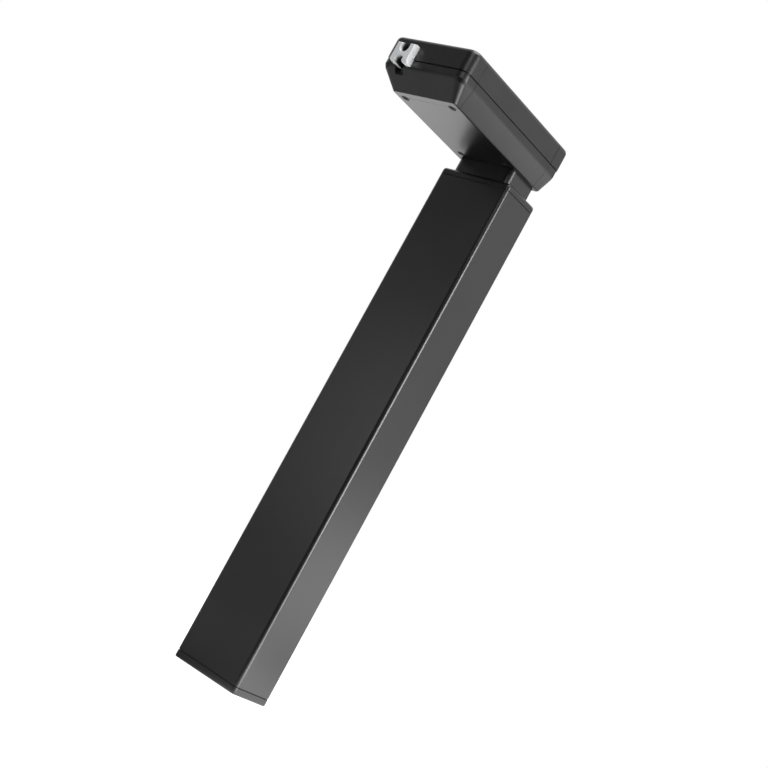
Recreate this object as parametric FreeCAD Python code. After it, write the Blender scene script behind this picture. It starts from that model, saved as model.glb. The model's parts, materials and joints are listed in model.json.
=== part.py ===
import FreeCAD, Part
import math
import os
from FreeCAD import Vector

# Electric lifting column for a height-adjustable desk, retracted.
# Millimetres. The origin is the centre of the foot's lower face, +Z runs up the column,
# +X along the wide face, and the motor housing overhangs towards -Y, the front.

# Outer tube and its foot
tube_width = 80.0
tube_depth = 45.0
tube_wall = 2.0
tube_length = 471.0
tube_corner_radius = 4.0
foot_thickness = 6.0
foot_edge_radius = 1.2
foot_seam_chamfer = 0.35
foot_hole_radius = 2.5
foot_hole_spacing_x = 60.0
foot_hole_spacing_y = 26.0

# Inner tube, which slides in the outer one
inner_wall = 2.0
inner_corner_radius = 6.5
inner_end_height = 25.0
lift_travel = 300.0

# Guide collar at the outer tube's mouth
collar_height = 7.0
collar_edge_radius = 3.0
collar_skirt_length = 10.0
collar_clearance = 0.3
collar_seam_chamfer = 0.4

# Glide pads between the tubes
glide_height = 40.0
glide_clearance = 0.2
side_glide_width = 18.0
side_glide_thickness = 5.8
face_glide_width = 14.0
face_glide_thickness = 1.3
face_glide_offset = 16.0
upper_glide_gap = 3.0

# Nut tube, nut and their screws
nut_tube_radius = 13.0
nut_tube_wall = 2.8
nut_tube_setback = 47.0
nut_tube_flange_radius = 19.0
nut_tube_flange_height = 5.0
nut_height = 25.0
nut_flange_radius = 15.5
nut_flange_height = 5.0
nut_pin_radius = 1.5
nut_pin_sink = 0.3
nut_pin_gap = 0.6
nut_screw_radius = 2.5
nut_screw_head_radius = 4.6
nut_screw_head_height = 2.6
nut_screw_offset = 16.0
nut_screw_length = 10.4

# Spindle
spindle_radius = 7.0
spindle_overlap = 7.8
spindle_running_clearance = 0.08
spindle_collar_radius = 8.5
spindle_collar_height = 1.8
spindle_collar_gap = 0.2
journal_radius = 5.0
end_stop_height = 8.0
end_stop_clearance = 0.4
end_stop_screw_radius = 2.0
end_stop_screw_head_radius = 4.0
end_stop_screw_head_height = 2.5
end_stop_screw_length = 12.0
end_stop_screw_gap = 1.0

# Housing, a cover above the parting line and a tray below it, each in three lengths
neck_height = 14.0
motor_side_gap = 3.0
motor_floor_gap = 0.9
motor_roof_gap = 0.8
housing_front = 140.9
housing_rear = 21.1
housing_wall = 2.2
housing_corner_radius = 9.0
cover_edge_radius = 4.0
tray_inset = 0.6
tray_band_height = 7.5
tray_side_slope = 11.0
tray_front_slope = 17.3
tray_floor_corner_radius = 4.0
tray_floor_fillet = 2.8
tray_band_softening = 1.4
parting_groove_height = 0.9
parting_groove_depth = 1.0
front_seam = 122.0
rear_seam = 3.0
seam_lean = 6.5
seam_gap = 0.25
tongue_thickness = 1.0
tongue_clearance = 0.2
tongue_reach = 6.0
tongue_root = 4.0
tongue_height = 5.0
tray_tongue_rise = 1.0
neck_hole_clearance = 0.4

# Steel carrier channel inside the housing
carrier_sheet = 2.0
carrier_side_gap = 1.8
carrier_floor_inset = 2.5
carrier_front_gap = 21.9
carrier_rear_gap = 7.1
carrier_floor_clearance = 0.3
carrier_roof_clearance = 0.3
carrier_flange_width = 11.0
carrier_spindle_hole_radius = 11.6

# Holes in the top for the desk frame
top_hole_edge_distance = 5.0
top_hole_spacing_y = 114.0
top_hole_front_distance = 11.0
top_hole_radius = 3.3
top_thread_radius = 2.5
weld_nut_radius = 4.8
weld_nut_height = 4.5

# Screws that hold the tray to the carrier
tray_screw_radius = 2.0
tray_screw_head_radius = 3.3
tray_screw_head_height = 1.4
tray_screw_recess_radius = 3.7
tray_screw_recess_depth = 1.5
tray_screw_length = 3.4
tray_screw_boss_radius = 5.5
tray_screw_clearance = 0.2
front_screw_edge_distance = 9.0
front_screw_setback = 5.0
rear_screw_edge_distance = 11.0
rear_screw_distance = 25.5
cross_recess_width = 0.9
cross_recess_length = 3.6
cross_recess_depth = 0.8

# Aluminium mounting rail with an H section
rail_width = 19.6
rail_height = 18.3
rail_edge_distance = 24.6
rail_above_parting = 2.75
rail_reach = 6.6
rail_back = 30.0
rail_top_groove_width = 9.1
rail_top_groove_depth = 9.1
rail_low_groove_width = 7.4
rail_low_groove_depth = 5.7
rail_chamfer = 0.6
rail_end_chamfer = 0.5
rail_end_slope_height = 1.3
rail_end_slope_length = 3.0
rail_hole_clearance = 0.35
rail_notch_width = 9.0
rail_notch_shift = 3.2
rail_notch_drop = 6.2
rail_notch_depth = 6.4
rail_support_length = 12.0
rail_support_width = 16.0
rail_support_setback = 14.0
rail_support_pitch = 54.0
rail_support_count = 2
rail_tongue_clearance = 0.3
rail_screw_radius = 2.0
rail_screw_head_radius = 3.8
rail_screw_bite = 2.6
rail_screw_gap = 0.4

# Worm gear
gear_module = 1.5
root_depth_modules = 1.25
wheel_teeth = 20
worm_starts = 2
worm_pitch_radius = 6.0
worm_length = 21.0
wheel_face_width = 10.0
wheel_hub_radius = 8.5
gear_clearance = 0.35
tooth_backlash = 0.75
pressure_angle = 20.0
wheel_facets = 4
worm_facets_per_turn = 20
key_width = 3.0
key_height = 3.0
key_length = 14.0

# Gearbox
gearbox_wall = 1.9
gearbox_left = 21.5
gearbox_front = 22.0
gearbox_rear = 17.0
gearbox_corner_radius = 4.0
gearbox_top_gap = 0.9
gearbox_screw_radius = 1.5
gearbox_screw_head_radius = 2.8
gearbox_screw_head_height = 1.8
gearbox_screw_inset = 4.0
bearing_seat_clearance = 0.02
hub_bearing_gap = 1.2
hub_end_gap = 0.4
thrust_bearing_radius = 11.0
thrust_bearing_height = 5.0
top_bearing_radius = 8.0
top_bearing_height = 4.0
worm_bearing_radius = 6.0
worm_bearing_width = 4.5
worm_bearing_front_wall = 1.0
worm_bearing_rear_wall = 1.5
bearing_groove_depth = 0.5

# Motor
motor_radius = 17.0
motor_can_wall = 1.5
motor_shaft_radius = 2.5
motor_boss_radius = 6.0
motor_boss_length = 4.0
motor_boss_gap = 7.0
magnet_thickness = 2.6
magnet_length = 42.0
magnet_angle = 136.0
air_gap = 0.5
armature_length = 36.0
armature_slots = 7
armature_slot_width = 2.2
armature_slot_depth = 6.5
winding_radius = 10.2
winding_length = 4.0
winding_gap = 1.4
commutator_radius = 5.0
commutator_length = 6.0
commutator_gap = 0.6
brush_width = 4.0
brush_height = 4.5
brush_gap = 0.1
brush_holder_gap = 1.2
brush_holder_wall = 1.0
end_cap_length = 7.0
end_cap_spigot = 3.0
sensor_magnet_radius = 5.0
sensor_magnet_length = 3.0
sensor_magnet_gap = 0.4
sensor_gap = 1.0
board_width = 24.0
board_height = 22.0
board_thickness = 1.6
board_post_radius = 1.6
board_post_offset = 9.0
chip_width = 4.0
chip_height = 3.0
chip_thickness = 1.2
chip_offset = 5.0
chip_rise = 3.0
board_plug_width = 10.0
board_plug_height = 5.0
board_plug_depth = 5.0
board_plug_drop = 9.0
motor_screw_radius = 1.5
motor_screw_offset = 10.5
motor_screw_length = 7.5
motor_screw_head_radius = 2.7
motor_screw_head_height = 1.6

# Cable socket in the left wall
socket_width = 18.0
socket_height = 10.0
socket_depth = 11.0
socket_wall = 1.2
socket_distance = 72.0
socket_pin_radius = 0.5
socket_pin_pitch = 3.6
socket_pin_count = 3
socket_clearance = 0.2
socket_lip = 1.0

# Shared by many parts
thread_clearance = 0.05
cut_overrun = 1.0

# Sizes that follow from the ones above
inner_width = tube_width - 2 * (tube_wall + side_glide_thickness + glide_clearance)
inner_depth = tube_depth - 2 * (tube_wall + face_glide_thickness + glide_clearance)
wheel_pitch_radius = gear_module * wheel_teeth / 2
wheel_tip_radius = wheel_pitch_radius + gear_module
wheel_root_radius = wheel_pitch_radius - root_depth_modules * gear_module
worm_tip_radius = worm_pitch_radius + gear_module
worm_root_radius = worm_pitch_radius - root_depth_modules * gear_module
worm_side = wheel_pitch_radius + worm_pitch_radius
worm_lead = math.pi * gear_module * worm_starts
motor_can_length = (end_cap_spigot + commutator_gap + commutator_length + winding_gap + 2 * winding_length
                    + armature_length + motor_boss_gap + motor_boss_length)
carrier_half_width = worm_side + motor_radius + motor_side_gap + carrier_sheet
housing_half_width = carrier_half_width + carrier_side_gap + housing_wall
tray_height = housing_wall + carrier_floor_clearance + carrier_sheet + motor_floor_gap + motor_radius
cover_height = motor_radius + motor_roof_gap + housing_wall
tray_half_width = housing_half_width - tray_inset
tray_floor_half_width = housing_half_width - tray_side_slope
tray_floor_front = housing_front - tray_front_slope
carrier_floor_half_width = tray_floor_half_width - carrier_floor_inset
carrier_front = housing_front - carrier_front_gap
carrier_rear = housing_rear - carrier_rear_gap
top_hole_offset = carrier_half_width - top_hole_edge_distance
top_hole_front = carrier_front - top_hole_front_distance
front_screw_offset = tray_floor_half_width - front_screw_edge_distance
front_screw_distance = carrier_front - front_screw_setback
rear_screw_offset = tray_floor_half_width - rear_screw_edge_distance
rail_side_offset = housing_half_width - rail_edge_distance
rail_notch_offset = rail_side_offset + rail_notch_shift

# Levels that follow from them
tube_top = foot_thickness + tube_length
collar_top = tube_top + collar_height
housing_bottom = collar_top + neck_height
parting = housing_bottom + tray_height
housing_top = parting + cover_height
band_bottom = parting - tray_band_height
carrier_bottom = housing_bottom + housing_wall + carrier_floor_clearance
carrier_floor_top = carrier_bottom + carrier_sheet
carrier_top = housing_top - housing_wall - carrier_roof_clearance
inner_top = carrier_bottom
axis_height = parting
nut_tube_top = tube_top - nut_tube_setback
nut_top = nut_tube_top + nut_height
thrust_bearing_bottom = carrier_floor_top + spindle_collar_height + spindle_collar_gap
thrust_bearing_top = thrust_bearing_bottom + thrust_bearing_height
spindle_top_thread = thrust_bearing_bottom - spindle_collar_height
spindle_bottom = nut_tube_top - nut_height / 2 - lift_travel - spindle_overlap
wheel_bottom = thrust_bearing_top + hub_bearing_gap
wheel_top = 2 * axis_height - wheel_bottom
top_bearing_bottom = wheel_top + hub_end_gap
gearbox_right = worm_side + worm_tip_radius + gear_clearance + gearbox_wall
gearbox_top = housing_top - housing_wall - gearbox_top_gap
rail_bottom = parting + rail_above_parting - rail_height / 2
rail_front = housing_front + rail_reach
motor_front = -gearbox_front
motor_back = motor_front - motor_can_length
commutator_start = motor_back + end_cap_spigot + commutator_gap
armature_start = commutator_start + commutator_length + winding_gap + winding_length
armature_radius = motor_radius - motor_can_wall - magnet_thickness - air_gap
magnet_back = armature_start + armature_length / 2 - magnet_length / 2
tray_front_y = -(housing_front - tray_inset)
tray_rear_y = housing_rear - tray_inset


def box(x0, x1, y0, y1, z0, z1):
    return Part.makeBox(x1 - x0, y1 - y0, z1 - z0, Vector(x0, y0, z0))


def upright(radius, z0, z1, x=0.0, y=0.0):
    return Part.makeCylinder(radius, z1 - z0, Vector(x, y, z0))


def lengthwise(radius, y0, y1, x=0.0, z=0.0):
    return Part.makeCylinder(radius, y1 - y0, Vector(x, y0, z), Vector(0, 1, 0))


def rounded_outline(x0, x1, y0, y1, radius, z):
    """A closed rectangle with four round corners at height z."""
    corners = [(x1 - radius, y1 - radius), (x0 + radius, y1 - radius),
               (x0 + radius, y0 + radius), (x1 - radius, y0 + radius)]
    quarter = math.pi / 2
    arcs = []
    for index, (x, y) in enumerate(corners):
        circle = Part.Circle(Vector(x, y, z), Vector(0, 0, 1), radius)
        arcs.append(Part.Arc(circle, index * quarter, (index + 1) * quarter).toShape())
    edges = []
    for arc, following in zip(arcs, arcs[1:] + arcs[:1]):
        edges.append(arc)
        edges.append(Part.LineSegment(arc.valueAt(arc.LastParameter),
                                      following.valueAt(following.FirstParameter)).toShape())
    return Part.Wire(edges)


def rounded_block(x0, x1, y0, y1, radius, z0, z1):
    face = Part.Face(rounded_outline(x0, x1, y0, y1, radius, z0))
    return face.extrude(Vector(0, 0, z1 - z0))


def centred_block(width, depth, radius, z0, z1):
    return rounded_block(-width / 2, width / 2, -depth / 2, depth / 2, radius, z0, z1)


def edges_at_height(shape, z):
    return [edge for edge in shape.Edges if all(abs(v.Point.z - z) < 1e-4 for v in edge.Vertexes)]


def join(shapes):
    shapes = list(shapes)
    return shapes[0].fuse(shapes[1:]).removeSplitter() if len(shapes) > 1 else shapes[0]


def cut_all(shape, tools):
    for tool in tools:
        shape = shape.cut(tool)
    return shape


def polygon_prism(points, direction):
    wire = Part.makePolygon(points + points[:1])
    return Part.Face(wire).extrude(direction)


def mirrored_x(shape):
    return shape.mirror(Vector(0, 0, 0), Vector(1, 0, 0))


# Foot and outer tube

def foot_hole_places():
    return [(x, y) for x in (-foot_hole_spacing_x / 2, foot_hole_spacing_x / 2)
            for y in (-foot_hole_spacing_y / 2, foot_hole_spacing_y / 2)]


def make_foot_plate():
    """A steel plate flush with the tube, threaded for the desk's foot."""
    plate = centred_block(tube_width, tube_depth, tube_corner_radius, 0, foot_thickness)
    plate = plate.makeFillet(foot_edge_radius, edges_at_height(plate, 0))
    plate = plate.makeChamfer(foot_seam_chamfer, edges_at_height(plate, foot_thickness))
    holes = [upright(foot_hole_radius, 0, foot_thickness, x, y) for x, y in foot_hole_places()]
    for x in (-nut_screw_offset, nut_screw_offset):
        holes.append(upright(nut_screw_radius + thread_clearance, 0, foot_thickness, x))
        holes.append(countersink(x, thread_clearance))
    return cut_all(plate, holes)


def countersink(x, clearance):
    """The cone of a countersunk head that lies flush in the foot's lower face."""
    return Part.makeCone(nut_screw_head_radius + clearance, nut_screw_radius + clearance,
                         nut_screw_head_height, Vector(x, 0, 0))


def make_outer_tube():
    outside = centred_block(tube_width, tube_depth, tube_corner_radius, foot_thickness, tube_top)
    outside = outside.makeChamfer(foot_seam_chamfer, edges_at_height(outside, foot_thickness))
    inside = centred_block(tube_width - 2 * tube_wall, tube_depth - 2 * tube_wall,
                           tube_corner_radius - tube_wall, foot_thickness, tube_top)
    return outside.cut(inside)


def make_guide_collar():
    """A plastic collar on the tube's mouth, with a skirt that plugs into it."""
    rim = centred_block(tube_width, tube_depth, tube_corner_radius, tube_top, collar_top)
    rim = rim.makeFillet(collar_edge_radius, edges_at_height(rim, collar_top))
    rim = rim.makeChamfer(collar_seam_chamfer, edges_at_height(rim, tube_top))
    skirt = centred_block(tube_width - 2 * tube_wall - 2 * glide_clearance,
                          tube_depth - 2 * tube_wall - 2 * glide_clearance,
                          tube_corner_radius - tube_wall, tube_top - collar_skirt_length, tube_top)
    bore = centred_block(inner_width + 2 * collar_clearance, inner_depth + 2 * collar_clearance,
                         inner_corner_radius + collar_clearance,
                         tube_top - collar_skirt_length, collar_top)
    return join([rim, skirt]).cut(bore)


def glide_pads(z0, side_start, side_end, face_start, face_end):
    """Six flat pads: one on each narrow side and two on each wide face."""
    pads = []
    z1 = z0 + glide_height
    for sign in (-1, 1):
        ends = sorted((sign * side_start, sign * side_end))
        pads.append(box(ends[0], ends[1], -side_glide_width / 2, side_glide_width / 2, z0, z1))
        for x in (-face_glide_offset, face_glide_offset):
            ends = sorted((sign * face_start, sign * face_end))
            half = face_glide_width / 2
            pads.append(box(x - half, x + half, ends[0], ends[1], z0, z1))
    return Part.makeCompound(pads)


def make_upper_glides():
    """Pads held in the outer tube, which the inner tube runs on."""
    z0 = tube_top - collar_skirt_length - upper_glide_gap - glide_height
    return glide_pads(z0, inner_width / 2 + glide_clearance, tube_width / 2 - tube_wall,
                      inner_depth / 2 + glide_clearance, tube_depth / 2 - tube_wall)


def make_lower_glides():
    """Pads on the inner tube's lower end, which run on the outer tube."""
    return glide_pads(inner_end_height, inner_width / 2,
                      tube_width / 2 - tube_wall - glide_clearance,
                      inner_depth / 2, tube_depth / 2 - tube_wall - glide_clearance)


# Nut tube and nut

def make_nut_tube():
    """A steel tube on the foot plate that carries the nut."""
    flange = upright(nut_tube_flange_radius, foot_thickness, foot_thickness + nut_tube_flange_height)
    pipe = upright(nut_tube_radius, foot_thickness, nut_tube_top)
    bore = upright(nut_tube_radius - nut_tube_wall, foot_thickness, nut_tube_top)
    tube = join([flange, pipe]).cut(bore)
    holes = [upright(nut_screw_radius + thread_clearance, foot_thickness,
                     foot_thickness + nut_tube_flange_height, x)
             for x in (-nut_screw_offset, nut_screw_offset)]
    return cut_all(tube, holes + [nut_pin_bore(thread_clearance)])


def nut_pin_bore(clearance):
    """The cross pin that keeps the nut from turning in its tube."""
    half = nut_tube_radius - nut_pin_sink
    height = nut_tube_top - nut_height / 4
    return lengthwise(nut_pin_radius + clearance, -half, half, 0, height)


def make_spindle_nut():
    """The nut: a plug in the tube's mouth and a flange on its rim."""
    plug = upright(nut_tube_radius - nut_tube_wall - thread_clearance,
                   nut_tube_top - nut_height / 2, nut_tube_top)
    flange = upright(nut_flange_radius, nut_tube_top, nut_tube_top + nut_flange_height)
    neck = upright(nut_tube_radius, nut_tube_top + nut_flange_height, nut_top)
    body = join([plug, flange, neck])
    thread = upright(spindle_radius + spindle_running_clearance,
                     nut_tube_top - nut_height / 2, nut_top)
    return body.cut(thread).cut(nut_pin_bore(thread_clearance))


def make_nut_pins():
    """Two short pins in one cross bore, which stop short of the spindle."""
    clear = upright(spindle_radius + nut_pin_gap, foot_thickness, nut_top)
    return nut_pin_bore(0).cut(clear)


def make_foot_screws():
    """Two countersunk screws from below that hold the nut tube."""
    screws = []
    for x in (-nut_screw_offset, nut_screw_offset):
        shank = upright(nut_screw_radius, 0, nut_screw_length, x)
        recess = box(x - cross_recess_width / 2, x + cross_recess_width / 2,
                     -nut_screw_radius, nut_screw_radius, 0, cross_recess_depth)
        screws.append(join([countersink(x, 0), shank]).cut(recess))
    return Part.makeCompound(screws)


# Inner tube and spindle

def make_inner_tube():
    outside = centred_block(inner_width, inner_depth, inner_corner_radius,
                            inner_end_height, inner_top)
    inside = centred_block(inner_width - 2 * inner_wall, inner_depth - 2 * inner_wall,
                           inner_corner_radius - inner_wall, inner_end_height, inner_top)
    return outside.cut(inside)


def key_block(clearance):
    """The key between the spindle's journal and the wheel's hub."""
    half = key_width / 2 + clearance
    return box(-half, half, journal_radius - key_height / 2, journal_radius + key_height / 2 + clearance,
               axis_height - key_length / 2, axis_height + key_length / 2)


def make_spindle():
    """The screw, its shoulder under the thrust bearing and the journal above."""
    screw = upright(spindle_radius, spindle_bottom, spindle_top_thread)
    shoulder = upright(spindle_collar_radius, spindle_top_thread, thrust_bearing_bottom)
    journal = upright(journal_radius, thrust_bearing_bottom,
                      top_bearing_bottom + top_bearing_height)
    tap = upright(end_stop_screw_radius + thread_clearance, spindle_bottom,
                  spindle_bottom + end_stop_screw_length)
    return join([screw, shoulder, journal]).cut(tap).cut(key_block(0))


def make_end_stop():
    """A plastic disc that guides the spindle's free end in the nut tube."""
    radius = nut_tube_radius - nut_tube_wall - end_stop_clearance
    disc = upright(radius, spindle_bottom - end_stop_height, spindle_bottom)
    return disc.cut(upright(end_stop_screw_radius + thread_clearance,
                            spindle_bottom - end_stop_height, spindle_bottom))


def make_end_stop_screw():
    head_top = spindle_bottom - end_stop_height
    head = upright(end_stop_screw_head_radius, head_top - end_stop_screw_head_height, head_top)
    shank = upright(end_stop_screw_radius, head_top, spindle_bottom + end_stop_screw_length - end_stop_screw_gap)
    return join([head, shank])


# Worm gear

def polar(radius, angle):
    return radius * math.cos(angle), radius * math.sin(angle)


def twisted_solid(outline, turn_per_mm, z0, z1, steps):
    """Stacks turned copies of an outline between two heights and closes them with flat facets."""
    rings = []
    for step in range(steps + 1):
        z = z0 + (z1 - z0) * step / steps
        turn = turn_per_mm * z
        rings.append([Vector(x * math.cos(turn) - y * math.sin(turn),
                             x * math.sin(turn) + y * math.cos(turn), z) for x, y in outline])
    loops = [rings[0], rings[-1]]
    for low, high in zip(rings, rings[1:]):
        for here, there in zip(range(len(low)), [*range(1, len(low)), 0]):
            loops.append([low[here], low[there], high[there]])
            loops.append([low[here], high[there], high[here]])
    faces = [Part.Face(Part.makePolygon(loop + loop[:1])) for loop in loops]
    return Part.Solid(Part.makeShell(faces))


def tooth_half_thickness(radius_above_pitch):
    """Half the thickness of a straight-flanked tooth, this far above its pitch line."""
    half_tooth = (math.pi * gear_module - tooth_backlash) / 4
    return half_tooth - radius_above_pitch * math.tan(math.radians(pressure_angle))


def wheel_outline():
    """The wheel's toothed outline, with a tooth on +X."""
    points = []
    for tooth in range(wheel_teeth):
        middle = 2 * math.pi * tooth / wheel_teeth
        for radius, side in ((wheel_root_radius, -1), (wheel_tip_radius, -1),
                             (wheel_tip_radius, 1), (wheel_root_radius, 1)):
            half = tooth_half_thickness(radius - wheel_pitch_radius)
            points.append(polar(radius, middle + side * half / radius))
    return points


def make_worm_wheel():
    """A helical wheel on a hub, keyed to the spindle's journal."""
    half = wheel_face_width / 2
    lead_slope = worm_lead / (2 * math.pi * worm_pitch_radius)
    rim = twisted_solid(wheel_outline(), lead_slope / wheel_pitch_radius, -half, half,
                        wheel_facets)
    rim.translate(Vector(0, 0, axis_height))
    hub = upright(wheel_hub_radius, wheel_bottom, wheel_top)
    bore = upright(journal_radius + thread_clearance, wheel_bottom, wheel_top)
    return join([rim, hub]).cut(bore).cut(key_block(thread_clearance))


def worm_outline():
    """The worm's section square to its axis, with a gap between two starts on -X."""
    points = []
    middle_radius = (worm_root_radius + worm_tip_radius) / 2
    pitch_angle = 2 * math.pi / worm_starts
    for start in range(worm_starts):
        middle = math.pi + pitch_angle * (start + 0.5)
        for radius, side in ((worm_root_radius, -1), (middle_radius, -1), (worm_tip_radius, -1),
                             (worm_tip_radius, 0), (worm_tip_radius, 1), (middle_radius, 1),
                             (worm_root_radius, 1)):
            half = tooth_half_thickness(radius - worm_pitch_radius)
            points.append(polar(radius, middle + side * 2 * math.pi * half / worm_lead))
        points.append(polar(worm_root_radius, middle + pitch_angle / 2))
    return points


def make_worm():
    """The worm, laid along +Y beside the wheel."""
    half = worm_length / 2
    steps = round(worm_facets_per_turn * worm_length / worm_lead)
    worm = twisted_solid(worm_outline(), 2 * math.pi / worm_lead, -half, half, steps)
    worm.rotate(Vector(0, 0, 0), Vector(1, 0, 0), -90)
    worm.translate(Vector(worm_side, 0, axis_height))
    return worm


def worm_bearing_places():
    """Where each worm bearing starts along Y: one before the worm, one behind it."""
    front = -gearbox_front + worm_bearing_front_wall
    rear = gearbox_rear - worm_bearing_rear_wall - worm_bearing_width
    return front, rear


def make_worm_shaft():
    """The motor's shaft with the worm cut on it."""
    shaft_back = motor_back - end_cap_length - sensor_magnet_length
    shaft_end = worm_bearing_places()[1] + worm_bearing_width
    before = lengthwise(motor_shaft_radius, shaft_back, -worm_length / 2, worm_side, axis_height)
    after = lengthwise(motor_shaft_radius, worm_length / 2, shaft_end, worm_side, axis_height)
    return make_worm().fuse([before, after])


# Gearbox

def ring(radius, bore, z0, z1, x=0.0, y=0.0):
    return upright(radius, z0, z1, x, y).cut(upright(bore, z0, z1, x, y))


def bearing(radius, bore, width):
    """A ball bearing with its shield grooves, standing on the origin along +Z."""
    body = ring(radius, bore, 0, width)
    middle = (radius + bore) / 2
    half = (radius - bore) / 4
    groove = ring(middle + half, middle - half, 0, bearing_groove_depth)
    upper = groove.copy()
    upper.translate(Vector(0, 0, width - bearing_groove_depth))
    return body.cut(groove).cut(upper)


def make_thrust_bearing():
    shape = bearing(thrust_bearing_radius, journal_radius + thread_clearance, thrust_bearing_height)
    shape.translate(Vector(0, 0, thrust_bearing_bottom))
    return shape


def make_top_bearing():
    shape = bearing(top_bearing_radius, journal_radius + thread_clearance, top_bearing_height)
    shape.translate(Vector(0, 0, top_bearing_bottom))
    return shape


def make_worm_bearings():
    shapes = []
    for y in worm_bearing_places():
        shape = bearing(worm_bearing_radius, motor_shaft_radius + thread_clearance, worm_bearing_width)
        shape.rotate(Vector(0, 0, 0), Vector(1, 0, 0), -90)
        shape.translate(Vector(worm_side, y, axis_height))
        shapes.append(shape)
    return Part.makeCompound(shapes)


def gearbox_screw_places():
    x0 = -gearbox_left + gearbox_screw_inset
    return [(x0, -gearbox_front + gearbox_screw_inset), (x0, gearbox_rear - gearbox_screw_inset)]


def gearbox_cavity():
    """The space for the wheel, the worm and the four bearings."""
    seat = bearing_seat_clearance
    wheel_half = wheel_face_width / 2 + gear_clearance
    wheel = upright(wheel_tip_radius + gear_clearance, axis_height - wheel_half,
                    axis_height + wheel_half)
    hub = upright(wheel_hub_radius + gear_clearance, thrust_bearing_top, top_bearing_bottom)
    low_seat = upright(thrust_bearing_radius + seat, carrier_floor_top, thrust_bearing_top)
    top_seat = upright(top_bearing_radius + seat, top_bearing_bottom - gear_clearance,
                       top_bearing_bottom + top_bearing_height + seat)
    front, rear = worm_bearing_places()
    half = worm_length / 2 + gear_clearance
    worm = lengthwise(worm_tip_radius + gear_clearance, -half, half, worm_side, axis_height)
    seats = [lengthwise(worm_bearing_radius + seat, y, y + worm_bearing_width, worm_side, axis_height)
             for y in (front, rear)]
    shaft = lengthwise(motor_shaft_radius + gear_clearance, -gearbox_front,
                       rear + worm_bearing_width + gear_clearance, worm_side, axis_height)
    return join([wheel, hub, low_seat, top_seat, worm, shaft] + seats)


def gearbox_block(z0, z1):
    return rounded_block(-gearbox_left, gearbox_right, -gearbox_front, gearbox_rear,
                         gearbox_corner_radius, z0, z1)


def gearbox_screw_holes():
    return [upright(gearbox_screw_radius + thread_clearance, carrier_bottom, gearbox_top, x, y)
            for x, y in gearbox_screw_places()]


def motor_screw_places():
    """Two screws across the shaft, on a diagonal."""
    reach = motor_screw_offset / math.sqrt(2)
    return [(worm_side - reach, axis_height - reach), (worm_side - reach, axis_height + reach)]


def motor_screw_holes(clearance):
    return [lengthwise(motor_screw_radius + clearance, motor_front - motor_can_wall,
                       motor_front - motor_can_wall + motor_screw_length, x, z)
            for x, z in motor_screw_places()]


def make_gearbox_half(z0, z1):
    block = gearbox_block(z0, z1)
    return cut_all(block, [gearbox_cavity()] + gearbox_screw_holes() + motor_screw_holes(thread_clearance))


def make_gearbox_screws():
    """Long screws through both halves into the carrier's floor."""
    screws = []
    for x, y in gearbox_screw_places():
        shank = upright(gearbox_screw_radius, carrier_bottom, gearbox_top, x, y)
        head = upright(gearbox_screw_head_radius, gearbox_top - gearbox_screw_head_height,
                       gearbox_top, x, y)
        screws.append(join([shank, head]))
    return Part.makeCompound(screws)


def screw_head_recesses():
    return [upright(gearbox_screw_head_radius + thread_clearance,
                    gearbox_top - gearbox_screw_head_height, gearbox_top, x, y)
            for x, y in gearbox_screw_places()]


def make_gearbox_upper():
    return cut_all(make_gearbox_half(axis_height, gearbox_top), screw_head_recesses())


# Motor

def motor_rod(radius, y0, y1):
    return lengthwise(radius, y0, y1, worm_side, axis_height)


def make_motor_can():
    """A drawn steel can, closed towards the gearbox, with the screws through its end."""
    outside = motor_rod(motor_radius, motor_back, motor_front)
    inside = motor_rod(motor_radius - motor_can_wall, motor_back, motor_front - motor_can_wall)
    bush = motor_rod(motor_boss_radius, motor_front - motor_boss_length, motor_front)
    shaft = motor_rod(motor_shaft_radius + thread_clearance, motor_back, motor_front)
    can = join([outside.cut(inside), bush]).cut(shaft)
    return cut_all(can, motor_screw_holes(thread_clearance))


def make_motor_screws():
    screws = []
    head_back = motor_front - motor_can_wall - motor_screw_head_height
    for shank, (x, z) in zip(motor_screw_holes(0), motor_screw_places()):
        head = lengthwise(motor_screw_head_radius, head_back, motor_front - motor_can_wall, x, z)
        screws.append(join([shank, head]))
    return Part.makeCompound(screws)


def make_motor_magnets():
    """Two curved magnets glued inside the can."""
    outer = motor_radius - motor_can_wall
    shell = motor_rod(outer, magnet_back, magnet_back + magnet_length)
    shell = shell.cut(motor_rod(outer - magnet_thickness, magnet_back, magnet_back + magnet_length))
    gap = math.radians(180 - magnet_angle) / 2
    reach = 2 * motor_radius
    high = reach * math.tan(gap)
    wedge = polygon_prism([Vector(worm_side, magnet_back, axis_height),
                           Vector(worm_side + reach, magnet_back, axis_height - high),
                           Vector(worm_side + reach, magnet_back, axis_height + high)],
                          Vector(0, magnet_length, 0))
    opposite = wedge.copy()
    opposite.rotate(Vector(worm_side, 0, axis_height), Vector(0, 1, 0), 180)
    return shell.cut(wedge).cut(opposite)


def make_armature():
    """The slotted stack that carries the windings."""
    y0 = armature_start
    y1 = y0 + armature_length
    stack = motor_rod(armature_radius, y0, y1).cut(motor_rod(motor_shaft_radius, y0, y1))
    slots = []
    for index in range(armature_slots):
        slot = box(worm_side - armature_slot_width / 2, worm_side + armature_slot_width / 2, y0, y1,
                   axis_height + armature_radius - armature_slot_depth,
                   axis_height + armature_radius + cut_overrun)
        slot.rotate(Vector(worm_side, 0, axis_height), Vector(0, 1, 0), 360 * index / armature_slots)
        slots.append(slot)
    return cut_all(stack, slots)


def make_windings():
    """The copper that shows as a ring at each end of the stack."""
    rings = []
    for y in (armature_start - winding_length, armature_start + armature_length):
        coil = motor_rod(winding_radius, y, y + winding_length)
        rings.append(coil.cut(motor_rod(motor_shaft_radius, y, y + winding_length)))
    return Part.makeCompound(rings)


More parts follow.
